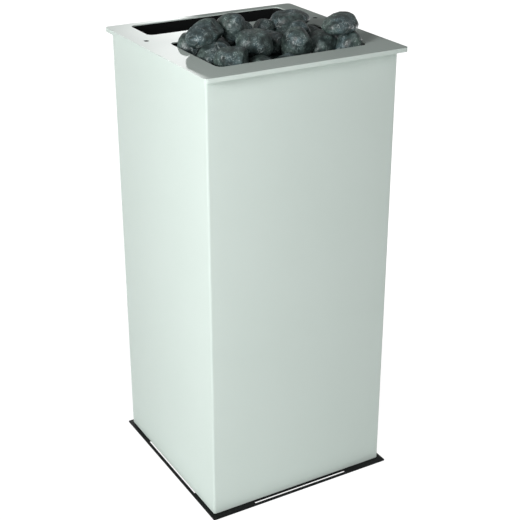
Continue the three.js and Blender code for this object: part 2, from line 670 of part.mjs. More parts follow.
// Rounded stone: a slightly square ellipsoid with a few soft lumps that differ from stone to stone
function stoneGeometry([, , length, width, height, turn, tilt], index) {
  const geometry = new THREE.SphereGeometry(1, STONE_SEGMENTS, STONE_RINGS);
  const places = geometry.getAttribute('position');
  const way = new THREE.Vector3();
  const n = STONE_SQUARENESS;
  for (let i = 0; i < places.count; i += 1) {
    way.fromBufferAttribute(places, i).normalize();
    const square = (Math.abs(way.x) ** n + Math.abs(way.y) ** n + Math.abs(way.z) ** n) ** (-1 / n);
    const lumps = STONE_WAVES.reduce((sum, [x, y, z], k) => (
      sum + Math.sin(x * way.x + y * way.y + z * way.z + (k + 1) * index)), 0);
    way.multiplyScalar(square * (1 + STONE_LUMP * lumps));
    places.setXYZ(i, way.x * length / 2, way.y * width / 2, way.z * height / 2);
  }
  geometry.rotateY(-THREE.MathUtils.degToRad(tilt));
  return geometry.rotateZ(THREE.MathUtils.degToRad(turn));
}

// Height at which a stone, let down from above, first meets another: step down, then halve the step
function restOn(stoneSolid, other) {
  const [box1, box2] = [stoneSolid.boundingBox(), other.boundingBox()];
  const apart = [0, 1].some((axis) => box1.max[axis] < box2.min[axis] || box1.min[axis] > box2.max[axis]);
  if (apart) return -Infinity;
  const meets = (z) => !stoneSolid.translate([0, 0, z]).intersect(other).isEmpty();
  const floor = box2.min[2] - box1.max[2];
  let high = box2.max[2] - box1.min[2];
  let low = high;
  while (low > floor && !meets(low)) {
    high = low;
    low -= STONE_STEP;
  }
  if (low <= floor) return -Infinity;
  while (high - low > STONE_FINENESS) {
    const half = (high + low) / 2;
    if (meets(half)) low = half;
    else high = half;
  }
  return high;
}

// Each stone stays inside the opening and is let down onto the grate and the stones already there
function buildStones() {
  const laid = [];
  STONES.forEach((row, index) => {
    const geometry = stoneGeometry(row, index);
    geometry.computeBoundingBox();
    const { min, max } = geometry.boundingBox;
    const clampTo = (place, low, high, half) => Math.min(
      Math.max(place, -half + STONE_MARGIN - low), half - STONE_MARGIN - high);
    const x = clampTo(row[0], min.x, max.x, binWidth / 2);
    const y = clampTo(row[1], min.y, max.y, binDepthY / 2);
    geometry.translate(x, binY + y, 0);
    const loose = solidOf(geometry);
    const heights = laid.map((other) => restOn(loose, other));
    const z = Math.max(grateTop - min.z, ...heights) + SEAT;
    laid.push(loose.translate([0, 0, z]));
    addPiece(`stone_${String(index + 1).padStart(2, '0')}`, geometry.translate(0, 0, z), stone);
  });
}

buildBasePlate();
buildCasing();
buildRearPanel();
buildTopPlate();
buildPlateScrews();
buildStoneBin();
buildStoneGrate();
buildOutletDuct();
buildPosts();
buildRails();
buildShield();
buildElementPlate();
buildElements();
buildConnection();
buildStones();

export default heater;
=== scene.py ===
"""Floor-standing electric sauna heater: finishes, stones, fasteners, light and camera.

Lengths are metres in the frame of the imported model: +Z up, front towards -Y, origin on the floor.
The tables of stones, turned forms, tubes, edges, slots and screws are in millimetres.
"""
import json
import math

import bmesh
import bpy
import numpy as np
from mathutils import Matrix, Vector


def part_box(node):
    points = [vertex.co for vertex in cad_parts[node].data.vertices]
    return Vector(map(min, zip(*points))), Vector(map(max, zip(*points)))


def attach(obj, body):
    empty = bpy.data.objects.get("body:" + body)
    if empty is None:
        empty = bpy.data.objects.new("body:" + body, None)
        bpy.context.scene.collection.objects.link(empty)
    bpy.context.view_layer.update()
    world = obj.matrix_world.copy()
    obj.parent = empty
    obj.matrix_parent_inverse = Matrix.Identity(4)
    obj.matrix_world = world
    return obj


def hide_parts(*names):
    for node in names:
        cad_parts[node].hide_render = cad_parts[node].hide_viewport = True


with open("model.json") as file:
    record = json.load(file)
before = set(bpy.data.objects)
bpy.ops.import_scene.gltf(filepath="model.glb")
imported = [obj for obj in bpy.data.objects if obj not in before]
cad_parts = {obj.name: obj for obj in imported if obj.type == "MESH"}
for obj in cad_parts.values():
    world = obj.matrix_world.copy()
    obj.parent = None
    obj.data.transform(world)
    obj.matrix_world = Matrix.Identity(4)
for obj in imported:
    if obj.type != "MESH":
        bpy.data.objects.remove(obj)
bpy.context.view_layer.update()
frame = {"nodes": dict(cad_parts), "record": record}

MM = 0.001

# Camera: the photograph's viewing angle, without roll or shift
VIEW_AZIMUTH = math.radians(-30)
VIEW_ELEVATION = math.radians(25)
VIEW_DISTANCE = 2.09823
VIEW_AIM = (0.01203, -0.01010, 0.38935)
LENS_MM = 80
SENSOR_MM = 36

# Soft boxes: place, target, width and height, power in watts
SOFT_BOXES = {
    "key_left": ((-2.05, -1.0, 1.3), (0, 0, 0.5), (0.9, 1.1), 52),
    "front_above": ((-0.15, -1.45, 1.85), (0, -0.1, 0.75), (1.3, 1.5), 4.5),
    "front_low": ((0.9, -1.7, 0.35), (0, -0.17, 0.35), (0.9, 0.5), 5.2),
    "fill_right": ((1.8, 0.3, 0.35), (0, 0, 0.4), (0.8, 0.6), 12),
    "fill_behind": ((0.2, 1.8, 0.35), (0, 0, 0.4), (0.8, 0.6), 12),
}

# Spot behind the heater that rakes the left of the top plate, and the pieces that it lights
RAKE_PLACE = (0.525, 1.305, 1.2)
RAKE_TARGET = (-0.259, 0, 0.8)
RAKE_CONE = math.radians(11.5)
RAKE_BLEND = 0.15
RAKE_WATTS = 43
RAKE_RADIUS = 20 * MM
RAKED = ("top_plate_shell", "socket_screw_left", "socket_screw_right")

# White studio: light of the world, share of white that a reflection shows
WORLD_FILL = 0.06
MIRRORED_WHITE = 0.25

# Floor, just clear of the base plate
FLOOR_REACH = 8.0
FLOOR_LEVEL = -0.3 * MM

# Floor's white: all of it from the far distance on, a share of it within the near distance
FLOOR_WHITE = 1.12
FLOOR_NEAR_SHARE = 0.85
FLOOR_NEAR = 0.4
FLOOR_FAR = 1.0

# Colours as sRGB: the two tones of each finish, then those of the stones and the studio
PAINT = ("#d4e0da", "#d0ddd6")
STOVE_BLACK = ("#0a0b0b", "#131515")
STAINLESS = ("#8f9496", "#b9bdbe")
ZINC = ("#7f8589", "#a3a8ab")
HEATED_TUBE = ("#3b3734", "#4d4f58")
BLACK_OXIDE = ("#050505", "#0b0b0c")
STEATITE = ("#d8d1c2", "#ece7dc")
BRASS = ("#b39451", "#8d7440")
NYLON = ("#1d1f21", "#26282a")
STONE_DARK = "#273331"
STONE_GREEN = "#5b6d67"
STONE_BLUE = "#566a6e"
STONE_VEIN = "#d5e0dd"
# Painted shade: the dark tone put into the hollows of the stones' bump
STONE_HOLLOW_SHADE = "#161c1d"
WHITE = "#ffffff"
PAPER = "#f2f2f2"

# Sockets of a Mix node that mixes colours, by number because their names repeat
SHARE = 0
FIRST = 6
SECOND = 7
MIXED = 2

# Stones: length, width and height, turn about the upright and tilt in degrees
STONES = [
    (88, 80, 46, 4, 0), (84, 80, 34, -5, 0), (88, 80, 34, 6, 0), (88, 80, 46, -6, 0),
    (84, 80, 34, 8, 0), (86, 80, 44, -4, 0), (48, 44, 34, 20, 0), (56, 44, 28, -10, 0),
    (54, 44, 26, 15, 0), (35, 33, 36, 20, 0), (40, 36, 32, 10, 0), (44, 38, 32, -15, 0),
    (44, 40, 24, 30, 0), (34, 32, 28, 15, 0), (46, 42, 39, 60, 0), (54, 40, 38, 10, 4),
    (68, 42, 38, 28, 10), (42, 42, 34, 40, 0), (38, 38, 50, 60, 0), (62, 44, 42, 25, 12),
    (50, 40, 44, -10, 0), (20, 32, 30, 0, 0), (36, 34, 34, 0, 0), (36, 34, 32, 50, 0),
    (30, 30, 28, 40, 0), (46, 46, 52, 0, 0), (54, 46, 42, 15, 0), (68, 48, 33, 25, 14),
    (46, 46, 46, 0, 0), (62, 48, 33, -8, 0), (62, 46, 31, 18, 6), (36, 34, 34, -20, 0),
]

# Shape of a stone: points round it and from pole to pole, squareness, soft waves, flat chips
STONE_SEED = 700
STONE_SIDES = 128
STONE_RINGS = 72
STONE_SQUARENESS = 2.3
STONE_LUMP = 0.045
STONE_WAVES = np.array([[2.1, 1.7, 0], [0, 2.3, -1.9], [1.6, 0, 2.2]])
STONE_CHIPS = 8
STONE_CHIP_REACH = (0.83, 0.98)
STONE_CHIP_SHARPNESS = 28

# Wear of the stones: wavelength and depth of each relief, and the number of waves in one
STONE_RELIEF = [(24 * MM, 1.7 * MM), (9 * MM, 0.5 * MM), (3.4 * MM, 0.15 * MM)]
RELIEF_WAVES = 14

# Shift of the grain from one stone to the next
GRAIN_STEP = np.array([0.137, 0.071, 0.113])

# Room of a stone: spread sideways and down from its node, clear of the bin's walls
STONE_SWELL = 2.5 * MM
STONE_SETTLE = 4 * MM
STONE_CLEARANCE = 3 * MM

# Turned forms, from the foot to the head: distance along the axis, reach, outline
PLATE_SCREW = [
    (-9, 0, "round"), (-9, 2.1, "round"), (-8.6, 2.5, "round"), (-2, 2.5, "round"), (-0.3, 4.2, "round"),
    (-0.05, 4.4, "round"), (0, 4.3, "round"), (0, 1.95, "round"), (-0.15, 1.73, "hexagon"),
    (-1.9, 1.73, "hexagon"), (-2.3, 0, "hexagon"),
]
PAN_SCREW = [
    (0, 0, "round"), (0, 3.4, "round"), (0.35, 3.6, "round"), (1, 3.45, "round"), (1.6, 2.95, "round"),
    (1.95, 2.2, "round"), (2.1, 1.7, "round"), (2.1, 1.55, "cross"), (1.1, 1.2, "cross"), (0.8, 0, "cross"),
]
TERMINAL_SCREW = [
    (0, 0, "round"), (0, 2.4, "round"), (0.2, 2.6, "round"), (2.4, 2.6, "round"), (2.7, 2.3, "round"),
    (2.7, 1.75, "round"), (2.7, 1.6, "cross"), (1.5, 1.4, "cross"), (1.3, 0, "cross"),
]

# Cable gland: length of its thread, half the pitch, reach and depth, and its turned form
GLAND_THREAD = 13
THREAD_STEP = 0.7
THREAD_REACH = 9.8
THREAD_DEPTH = 0.6
THREAD = [
    (THREAD_STEP * k - GLAND_THREAD, THREAD_REACH - THREAD_DEPTH * (k % 2), "round")
    for k in range(int(GLAND_THREAD / THREAD_STEP))
]
GLAND = [
    (-GLAND_THREAD, 0, "round"), *THREAD,
    (0, 9.2, "round"), (0, 12.6, "hexagon"), (0.5, 13.4, "hexagon"), (6, 13.4, "hexagon"),
    (6.5, 12.4, "hexagon"), (6.5, 9.9, "round"), (6.9, 9.95, "ribbed"), (11.2, 9.95, "ribbed"),
    (12.4, 9, "round"), (13, 7.6, "round"), (13, 6.4, "round"), (12.2, 6, "round"), (9.5, 5.6, "round"),
    (9, 0, "round"),
]

# Ends of the heating tubes: collar and pin, as turned forms
ELEMENT_COLLAR = [
    (0.4, 0, "round"), (0.4, 6.8, "hexagon"), (0.9, 7.4, "hexagon"), (6.8, 7.4, "hexagon"),
    (7.3, 6.6, "hexagon"), (7.3, 0, "round"),
]
ELEMENT_TERMINAL = [
    (0, 0, "round"), (0, 1.6, "round"), (0.4, 2, "round"), (16, 2, "round"), (16, 0, "round"),
]

# Outlines: half an arm of a cross, number of ribs and their depth, as shares of the reach
CROSS_ARM = 0.27
RIBS = 12
RIB_DEPTH = 0.025

# Points round a turned form, a pin, the gland and a heating tube, and along one bend of the tube
TURNED_SIDES = 48
PIN_SIDES = 24
GLAND_SIDES = 96
TUBE_SIDES = 20
BEND_POINTS = 25

# Heating tubes: spacing of the legs, half the tube, lower bend above the plate, length of a pin, end cap
ELEMENT_SPACING = 70
ELEMENT_REACH = 4.25
ELEMENT_DIP = 40
ELEMENT_PIN = 14
ELEMENT_CAP = 0.01

# Folded sheets: radius of their edges
EDGE_RADIUS = {
    "casing": 0.5, "top_plate": 0.9, "rear_panel": 0.4, "connection_cover": 0.4,
    "base_plate": 0.5, "outlet_duct": 0.3, "stone_bin": 0.4,
}
EDGE_SEGMENTS = 2

# Angles at which faces count as one flat face, are shaded apart, or get a rounded edge
FLAT_ANGLE = math.radians(0.5)
SHARP_ANGLE = math.radians(35)
EDGE_ANGLE = math.radians(40)

# Points this near are merged: on a new surface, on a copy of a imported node
SURFACE_WELD = 1e-7
NODE_WELD = 1e-6

# Base plate's slots: border to the plate's edge and width, as packed and as drawn, and a margin
PACKED_SLOT = (3.7, 9.5)
DRAWN_SLOT = (5.3, 4.6)
SLOT_MARGIN = 0.5

# Small screws: places on the rear flanges, distance from the cover's edges
REAR_SCREW_X = (-169, 169)
REAR_SCREW_Z = (60, 300, 540, 760)
COVER_SCREW_INSET = 7

# Terminal block: number of poles, depth and height of a pocket
TERMINAL_POLES = 5
POCKET_DEPTH = 10
POCKET_HEIGHT = 8


def linear(hex_colour):
    """sRGB hex value to linear red, green, blue and full alpha."""
    srgb = np.array([int(hex_colour[i:i + 2], 16) for i in (1, 3, 5)]) / 255
    line = np.where(srgb <= 0.04045, srgb / 12.92, ((srgb + 0.055) / 1.055) ** 2.4)
    return (*line.tolist(), 1.0)


def feed(tree, node, inputs):
    """Sets inputs of a node: each is a plain value, or a socket that is linked to it."""
    for key, value in inputs.items():
        if isinstance(value, bpy.types.NodeSocket):
            tree.links.new(value, node.inputs[key])
        else:
            node.inputs[key].default_value = value


def add(tree, kind, inputs=None, **settings):
    """Adds one node: settings are its properties, inputs are its values or the sockets that feed it."""
    node = tree.nodes.new(kind)
    for name, value in settings.items():
        setattr(node, name, value)
    feed(tree, node, inputs or {})
    return node


def start(name):
    """A new material, its node tree and its principled shader."""
    material = bpy.data.materials.new(name)
    material.use_nodes = True
    return material, material.node_tree, material.node_tree.nodes["Principled BSDF"]


def powder_coated_steel():
    """Polyester powder coat on folded sheet: pale green-white and satin, with a faint orange peel.

    The real ripple is about 2 mm wide. It is drawn 6 mm wide so that it shows.
    """
    material, tree, shader = start("powder_coated_steel")
    place = add(tree, "ShaderNodeTexCoord").outputs["Object"]
    drift = add(tree, "ShaderNodeTexNoise", {"Vector": place, "Scale": 1 / (160 * MM), "Detail": 2.0})
    shade = add(tree, "ShaderNodeMix",
                {SHARE: drift.outputs[0], FIRST: linear(PAINT[0]), SECOND: linear(PAINT[1])},
                data_type="RGBA")
    rough = add(tree, "ShaderNodeMapRange", {"Value": drift.outputs[0], "To Min": 0.56, "To Max": 0.64})
    peel = add(tree, "ShaderNodeTexNoise", {"Vector": place, "Scale": 1 / (6 * MM), "Detail": 1.0})
    bump = add(tree, "ShaderNodeBump", {"Height": peel.outputs[0], "Strength": 0.05, "Distance": 0.3 * MM})
    feed(tree, shader, {"Base Color": shade.outputs[MIXED], "Roughness": rough.outputs[0],
                        "Normal": bump.outputs[0], "IOR": 1.5})
    return material


def stove_black_paint():
    """Heat-proof silicone paint, sprayed: black and matt, with a fine dry grit.

    The real grit is under 0.3 mm. It is drawn 1.2 mm wide so that it shows.
    """
    material, tree, shader = start("stove_black_paint")
    place = add(tree, "ShaderNodeTexCoord").outputs["Object"]
    grit = add(tree, "ShaderNodeTexNoise", {"Vector": place, "Scale": 1 / (1.2 * MM), "Detail": 3.0})
    shade = add(tree, "ShaderNodeMix",
                {SHARE: grit.outputs[0], FIRST: linear(STOVE_BLACK[0]), SECOND: linear(STOVE_BLACK[1])},
                data_type="RGBA")
    rough = add(tree, "ShaderNodeMapRange", {"Value": grit.outputs[0], "To Min": 0.55, "To Max": 0.75})
    bump = add(tree, "ShaderNodeBump", {"Height": grit.outputs[0], "Strength": 0.15, "Distance": 0.2 * MM})
    feed(tree, shader, {"Base Color": shade.outputs[MIXED], "Roughness": rough.outputs[0],
                        "Normal": bump.outputs[0], "Specular IOR Level": 0.2})
    return material


def rolled_stainless():
    """Stainless sheet, cold rolled: a grey metal with fine lines along the way it was rolled."""
    material, tree, shader = start("rolled_stainless")
    place = add(tree, "ShaderNodeTexCoord").outputs["Object"]
    along = add(tree, "ShaderNodeMapping", {"Vector": place, "Scale": (1.0, 30.0, 30.0)})
    lines = add(tree, "ShaderNodeTexNoise",
                {"Vector": along.outputs[0], "Scale": 1 / (40 * MM), "Detail": 4.0})
    shade = add(tree, "ShaderNodeMix",
                {SHARE: lines.outputs[0], FIRST: linear(STAINLESS[0]), SECOND: linear(STAINLESS[1])},
                data_type="RGBA")
    rough = add(tree, "ShaderNodeMapRange", {"Value": lines.outputs[0], "To Min": 0.28, "To Max": 0.46})
    bump = add(tree, "ShaderNodeBump", {"Height": lines.outputs[0], "Strength": 0.1, "Distance": 0.1 * MM})
    feed(tree, shader, {"Base Color": shade.outputs[MIXED], "Roughness": rough.outputs[0],
                        "Normal": bump.outputs[0], "Metallic": 1.0})
    return material


def hot_dipped_zinc():
    """Hot-dipped galvanised sheet: a dull grey metal with frost-like spangles about 9 mm across."""
    material, tree, shader = start("hot_dipped_zinc")
    place = add(tree, "ShaderNodeTexCoord").outputs["Object"]
    spangle = add(tree, "ShaderNodeTexVoronoi", {"Vector": place, "Scale": 1 / (9 * MM)})
    tone = add(tree, "ShaderNodeSeparateColor", {"Color": spangle.outputs["Color"]})
    shade = add(tree, "ShaderNodeMix",
                {SHARE: tone.outputs[0], FIRST: linear(ZINC[0]), SECOND: linear(ZINC[1])},
                data_type="RGBA")
    rough = add(tree, "ShaderNodeMapRange", {"Value": tone.outputs[1], "To Min": 0.38, "To Max": 0.6})
    feed(tree, shader, {"Base Color": shade.outputs[MIXED], "Roughness": rough.outputs[0],
                        "Metallic": 1.0})
    return material


def heat_tinted_tube():
    """Nickel alloy heater tube, annealed: dark grey metal clouded brown and blue by heat."""
    material, tree, shader = start("heat_tinted_tube")
    place = add(tree, "ShaderNodeTexCoord").outputs["Object"]
    cloud = add(tree, "ShaderNodeTexNoise", {"Vector": place, "Scale": 1 / (35 * MM), "Detail": 3.0})
    fleck = add(tree, "ShaderNodeTexNoise", {"Vector": place, "Scale": 1 / (2 * MM), "Detail": 2.0})
    shade = add(tree, "ShaderNodeMix",
                {SHARE: cloud.outputs[0], FIRST: linear(HEATED_TUBE[0]), SECOND: linear(HEATED_TUBE[1])},
                data_type="RGBA")
    rough = add(tree, "ShaderNodeMapRange", {"Value": fleck.outputs[0], "To Min": 0.4, "To Max": 0.65})
    feed(tree, shader, {"Base Color": shade.outputs[MIXED], "Roughness": rough.outputs[0],
                        "Metallic": 0.9})
    return material


def black_oxide_screw():
    """Hardened steel screw, black oxide: near-black, dry and slightly cloudy, with little sheen."""
    material, tree, shader = start("black_oxide_screw")
    place = add(tree, "ShaderNodeTexCoord").outputs["Object"]
    cloud = add(tree, "ShaderNodeTexNoise", {"Vector": place, "Scale": 1 / (1.5 * MM), "Detail": 2.0})
    shade = add(tree, "ShaderNodeMix",
                {SHARE: cloud.outputs[0], FIRST: linear(BLACK_OXIDE[0]), SECOND: linear(BLACK_OXIDE[1])},
                data_type="RGBA")
    rough = add(tree, "ShaderNodeMapRange", {"Value": cloud.outputs[0], "To Min": 0.7, "To Max": 0.85})
    feed(tree, shader, {"Base Color": shade.outputs[MIXED], "Roughness": rough.outputs[0],
                        "Specular IOR Level": 0.02})
    return material


def fired_steatite():
    """Steatite ceramic, pressed and fired unglazed: off-white, dry, with faint darker grains."""
    material, tree, shader = start("fired_steatite")
    place = add(tree, "ShaderNodeTexCoord").outputs["Object"]
    grain = add(tree, "ShaderNodeTexNoise", {"Vector": place, "Scale": 1 / (1.5 * MM), "Detail": 3.0})
    shade = add(tree, "ShaderNodeMix",
                {SHARE: grain.outputs[0], FIRST: linear(STEATITE[0]), SECOND: linear(STEATITE[1])},
                data_type="RGBA")
    rough = add(tree, "ShaderNodeMapRange", {"Value": grain.outputs[0], "To Min": 0.55, "To Max": 0.7})
    feed(tree, shader, {"Base Color": shade.outputs[MIXED], "Roughness": rough.outputs[0], "IOR": 1.55})
    return material


def turned_brass():
    """Brass, turned on a lathe: yellow metal, satin, clouded by a little tarnish."""
    material, tree, shader = start("turned_brass")
    place = add(tree, "ShaderNodeTexCoord").outputs["Object"]
    tarnish = add(tree, "ShaderNodeTexNoise", {"Vector": place, "Scale": 1 / (4 * MM), "Detail": 3.0})
    shade = add(tree, "ShaderNodeMix",
                {SHARE: tarnish.outputs[0], FIRST: linear(BRASS[0]), SECOND: linear(BRASS[1])},
                data_type="RGBA")
    rough = add(tree, "ShaderNodeMapRange", {"Value": tarnish.outputs[0], "To Min": 0.25, "To Max": 0.45})
    feed(tree, shader, {"Base Color": shade.outputs[MIXED], "Roughness": rough.outputs[0],
                        "Metallic": 1.0})
    return material


def moulded_nylon():
    """Nylon, injection moulded: black, satin, with the fine spark-eroded grain of the mould."""
    material, tree, shader = start("moulded_nylon")
    place = add(tree, "ShaderNodeTexCoord").outputs["Object"]
    grain = add(tree, "ShaderNodeTexNoise", {"Vector": place, "Scale": 1 / (0.8 * MM), "Detail": 2.0})
    shade = add(tree, "ShaderNodeMix",
                {SHARE: grain.outputs[0], FIRST: linear(NYLON[0]), SECOND: linear(NYLON[1])},
                data_type="RGBA")
    rough = add(tree, "ShaderNodeMapRange", {"Value": grain.outputs[0], "To Min": 0.42, "To Max": 0.58})
    bump = add(tree, "ShaderNodeBump", {"Height": grain.outputs[0], "Strength": 0.2, "Distance": 0.1 * MM})
    feed(tree, shader, {"Base Color": shade.outputs[MIXED], "Roughness": rough.outputs[0],
                        "Normal": bump.outputs[0], "IOR": 1.53})
    return material


def tumbled_olivine():
    """Olivine rock, tumbled: dark green and blue-grey cloudy ground with pale veins and frosty specks.

    The pattern follows each stone through its grain attribute, so no two stones match.
    """
    material, tree, shader = start("tumbled_olivine")
    grain = add(tree, "ShaderNodeAttribute", attribute_name="grain").outputs["Vector"]

    # Ground: dark clouds over patches of green and blue-grey
    cloud = add(tree, "ShaderNodeTexNoise", {"Vector": grain, "Scale": 1 / (13 * MM), "Detail": 6.0})
    depth = add(tree, "ShaderNodeMapRange", {"Value": cloud.outputs[0], "From Min": 0.36, "From Max": 0.64})
    patch = add(tree, "ShaderNodeTexNoise", {"Vector": grain, "Scale": 1 / (45 * MM), "Detail": 2.0})
    tint = add(tree, "ShaderNodeMapRange", {"Value": patch.outputs[0], "From Min": 0.4, "From Max": 0.6})
    body = add(tree, "ShaderNodeMix",
               {SHARE: tint.outputs[0], FIRST: linear(STONE_GREEN), SECOND: linear(STONE_BLUE)},
               data_type="RGBA")
    ground = add(tree, "ShaderNodeMix",
                 {SHARE: depth.outputs[0], FIRST: linear(STONE_DARK), SECOND: body.outputs[MIXED]},
                 data_type="RGBA")

    # Veins: where a folded noise passes its middle value, in some of the patches
    fold = add(tree, "ShaderNodeTexNoise",
               {"Vector": grain, "Scale": 1 / (26 * MM), "Detail": 4.0, "Distortion": 0.6})
    middle = add(tree, "ShaderNodeMath", {0: fold.outputs[0], 1: 0.5}, operation="SUBTRACT")
    away = add(tree, "ShaderNodeMath", {0: middle.outputs[0]}, operation="ABSOLUTE")
    line = add(tree, "ShaderNodeMapRange",
               {"Value": away.outputs[0], "From Max": 0.014, "To Min": 0.45, "To Max": 0.0})
    shown = add(tree, "ShaderNodeMapRange", {"Value": patch.outputs[0], "From Min": 0.44, "From Max": 0.56})
    vein = add(tree, "ShaderNodeMath", {0: line.outputs[0], 1: shown.outputs[0]}, operation="MULTIPLY")
    veined = add(tree, "ShaderNodeMix",
                 {SHARE: vein.outputs[0], FIRST: ground.outputs[MIXED], SECOND: linear(STONE_VEIN)},
                 data_type="RGBA")

    # Frost: pale dots, in fields
    dots = add(tree, "ShaderNodeTexVoronoi", {"Vector": grain, "Scale": 1 / (2.6 * MM)})
    dot = add(tree, "ShaderNodeMapRange", {"Value": dots.outputs["Distance"], "From Min": 0.12,
                                           "From Max": 0.34, "To Min": 0.85, "To Max": 0.0})
    field = add(tree, "ShaderNodeTexNoise", {"Vector": grain, "Scale": 1 / (13 * MM), "Detail": 3.0})
    frost = add(tree, "ShaderNodeMapRange", {"Value": field.outputs[0], "From Min": 0.46, "From Max": 0.62})
    speck = add(tree, "ShaderNodeMath", {0: dot.outputs[0], 1: frost.outputs[0]}, operation="MULTIPLY")
    specked = add(tree, "ShaderNodeMix",
                  {SHARE: speck.outputs[0], FIRST: veined.outputs[MIXED], SECOND: linear(STONE_VEIN)},
                  data_type="RGBA")

    # Skin: painted shade in the hollows of its bump, and a gloss that changes with them
    skin = add(tree, "ShaderNodeTexNoise", {"Vector": grain, "Scale": 1 / (3.2 * MM), "Detail": 4.0})
    # Painted shade grows as the bump's height falls, so the hollows look shaded
    hollow_shade = add(tree, "ShaderNodeMapRange", {"Value": skin.outputs[0], "From Min": 0.34, "From Max": 0.47,
                                           "To Min": 0.45, "To Max": 0.0})
    shaded_hollows = add(tree, "ShaderNodeMix",
                 {SHARE: hollow_shade.outputs[0], FIRST: specked.outputs[MIXED], SECOND: linear(STONE_HOLLOW_SHADE)},
                 data_type="RGBA")
    rough = add(tree, "ShaderNodeMapRange", {"Value": skin.outputs[0], "From Min": 0.3, "From Max": 0.7,
                                             "To Min": 0.34, "To Max": 0.54})
    bump = add(tree, "ShaderNodeBump", {"Height": skin.outputs[0], "Strength": 0.8, "Distance": 0.9 * MM})
    feed(tree, shader, {"Base Color": shaded_hollows.outputs[MIXED], "Roughness": rough.outputs[0],
                        "Normal": bump.outputs[0], "IOR": 1.6})
    return material


FINISHES = {
    "pale_paint": powder_coated_steel(),
    "black_paint": stove_black_paint(),
    "black_screw": black_oxide_screw(),
    "stainless": rolled_stainless(),
    "zinc_steel": hot_dipped_zinc(),
    "element_steel": heat_tinted_tube(),
    "ceramic": fired_steatite(),
    "brass": turned_brass(),
    "nylon": moulded_nylon(),
    "stone": tumbled_olivine(),
}
NODE_SLOT = {row["node"]: row["material_slot"] for row in frame["record"]["subparts"]}
NODE_BODY = {node: body for body, nodes in frame["record"]["behaviour"]["bodies"].items() for node in nodes}


def dress_nodes():
    """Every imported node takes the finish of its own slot."""
    for name, node in frame["nodes"].items():
        node.data.materials.clear()
        node.data.materials.append(FINISHES[NODE_SLOT[name]])


def piece(name, mesh, body, slot, *nodes):
    """A finished piece: it rides on a body, takes a slot's finish and stands for the nodes it replaces."""
    thing = bpy.data.objects.new(name, mesh)
    bpy.context.scene.collection.objects.link(thing)
    mesh.materials.clear()
    mesh.materials.append(FINISHES[slot])
    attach(thing, body)
    if nodes:
        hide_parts(*nodes)
    return thing


def surface(name, *grids):
    """One mesh from grids of points [rows, columns, 3] whose columns join round.

    Each grid is a closed form: its first and last rows are drawn together to one point.
    """
    points, faces, first = [], [], 0
    for grid in grids:
        rows, columns = grid.shape[:2]
        index = first + np.arange(rows * columns).reshape(rows, columns)
        beside = np.roll(index, -1, axis=1)
        quads = np.stack([index[:-1], beside[:-1], beside[1:], index[1:]], axis=-1)
        points.append(grid.reshape(-1, 3))
        faces.append(quads.reshape(-1, 4))
        first += rows * columns
    mesh = bpy.data.meshes.new(name)
    mesh.from_pydata(np.concatenate(points).tolist(), [], np.concatenate(faces).tolist())
    work = bmesh.new()
    work.from_mesh(mesh)
    bmesh.ops.remove_doubles(work, verts=work.verts, dist=SURFACE_WELD)
    bmesh.ops.recalc_face_normals(work, faces=work.faces)
    work.to_mesh(mesh)
    work.free()
    mesh.shade_smooth()
    mesh.set_sharp_from_angle(angle=SHARP_ANGLE)
    return mesh


def places_of(mesh):
    """Places of a mesh's vertices, [vertices, 3]."""
    flat = np.empty(len(mesh.vertices) * 3, np.float32)
    mesh.vertices.foreach_get("co", flat)
    return flat.reshape(-1, 3)


def directions(rings, sides):
    """Unit directions on a sphere, [rings + 1, sides, 3], with the poles along Y."""
    down = np.linspace(0, math.pi, rings + 1)[:, None]
    about = np.linspace(0, 2 * math.pi, sides, endpoint=False)[None, :]
    return np.stack([
        np.sin(down) * np.cos(about),
        np.cos(down) * np.ones_like(about),
        np.sin(down) * np.sin(about),
    ], axis=-1)


def relief(points, wavelength, draw):
    """Smooth random relief of about -1 to 1: cosine waves of one length in random directions, added up."""
    ways = draw.normal(size=(RELIEF_WAVES, 3))
    ways /= np.linalg.norm(ways, axis=1, keepdims=True)
    phases = draw.uniform(0, 2 * math.pi, RELIEF_WAVES)
    total = np.cos(points @ ways.T * (2 * math.pi / wavelength) + phases).sum(axis=-1)
    return np.tanh(total * math.sqrt(1 / RELIEF_WAVES))


def stone_points(index, way):
    """Points of one stone in its own axes, before it is turned.

    The reach along a direction is a slightly square sphere times one plus three soft waves, cut by
    flat chips: each chip is a plane, and reach and planes are blended by a power mean. The reach is
    then stretched to the stone's length, width and height and worn inwards by the relief.
    """
    draw = np.random.default_rng(STONE_SEED + index)
    n = STONE_SQUARENESS
    square = (np.abs(way) ** n).sum(axis=-1) ** (-1 / n)
    waves = np.sin(way @ STONE_WAVES.T + index * np.arange(1, 4)).sum(axis=-1)
    reach = square * (1 + STONE_LUMP * waves)
    chips = draw.normal(size=(STONE_CHIPS, 3))
    chips /= np.linalg.norm(chips, axis=1, keepdims=True)
    depths = draw.uniform(*STONE_CHIP_REACH, STONE_CHIPS)
    power = STONE_CHIP_SHARPNESS
    planes = (np.clip(way @ chips.T, 0, None) / depths) ** power
    reach = (reach ** -power + planes.sum(axis=-1)) ** (-1 / power)
    points = way * reach[..., None] * np.array(STONES[index][:3]) * MM / 2
    far = np.linalg.norm(points, axis=-1)
    wear = sum(depth * (1 + relief(points, length, draw)) / 2 for length, depth in STONE_RELIEF)
    return points * (1 - wear / far)[..., None]


def tilted_and_turned(points, turn, tilt):
    """Points tilted about Y, the +X end upwards, then turned about the upright."""
    a, b = math.radians(tilt), math.radians(turn)
    tilting = np.array([[math.cos(a), 0, -math.sin(a)], [0, 1, 0], [math.sin(a), 0, math.cos(a)]])
    turning = np.array([[math.cos(b), -math.sin(b), 0], [math.sin(b), math.cos(b), 0], [0, 0, 1]])
    return points @ (turning @ tilting).T


